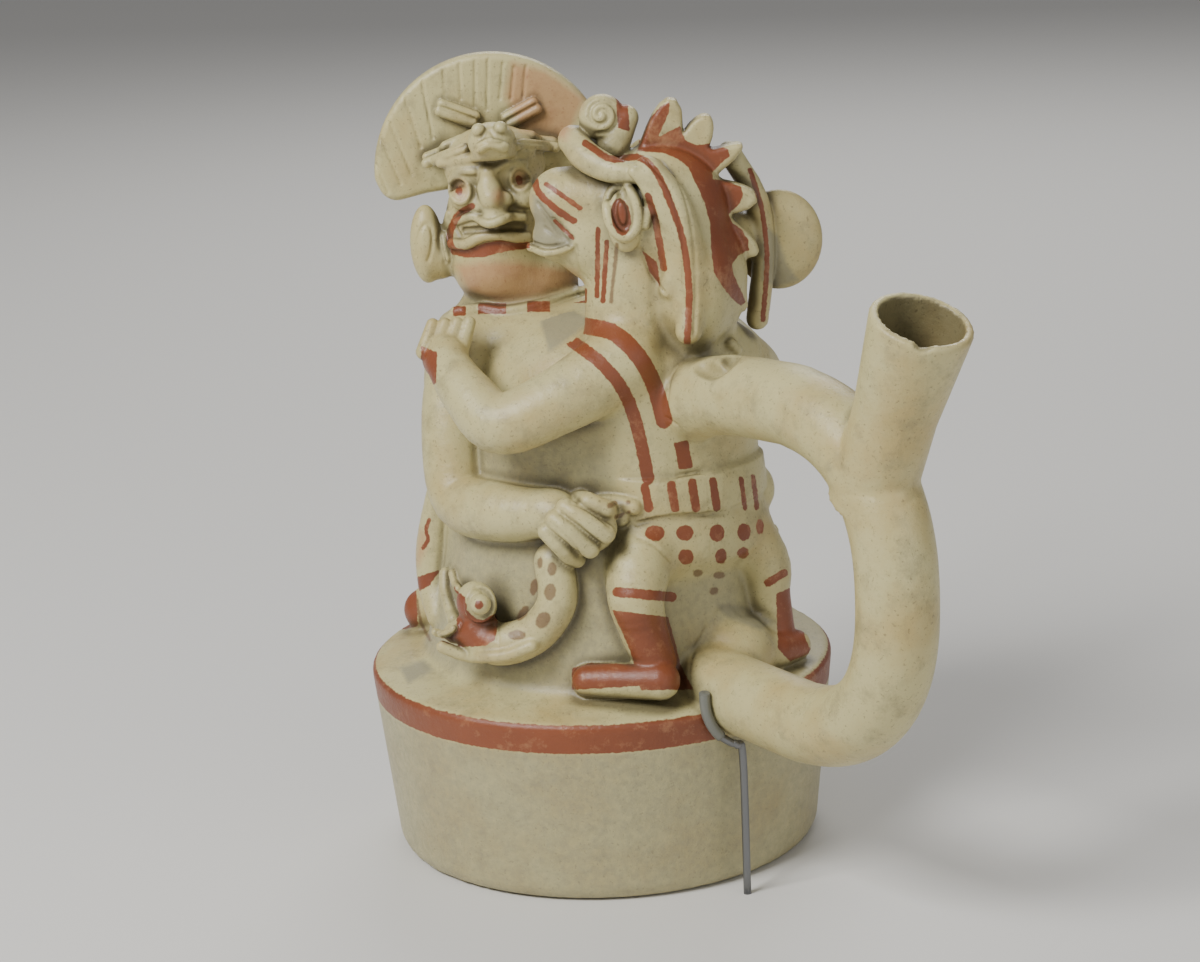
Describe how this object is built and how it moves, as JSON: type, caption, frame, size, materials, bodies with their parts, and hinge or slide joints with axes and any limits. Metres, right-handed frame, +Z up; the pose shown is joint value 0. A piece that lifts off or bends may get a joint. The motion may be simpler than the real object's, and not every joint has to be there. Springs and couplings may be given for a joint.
{
  "type": "stirrup spout vessel",
  "caption": "Moulded clay stirrup spout vessel: two grappling mythical figures on a drum-shaped foot, a ring-shaped tubular stirrup with a leaning spout at the back, and the thin rod that holds the stirrup up.",
  "frame": {"origin": "middle of the drum's flat underside", "axes": "+Z up; +X towards the stirrup and spout; +Y to the left of a person who looks along +X"},
  "size_m": [0.2468, 0.148, 0.25],
  "materials": {
    "clay": "satin",
    "rod": "satin"
  },
  "bodies": {
    "root": {"vessel": "clay", "support_rod": "rod"}
  },
  "joints": []
}
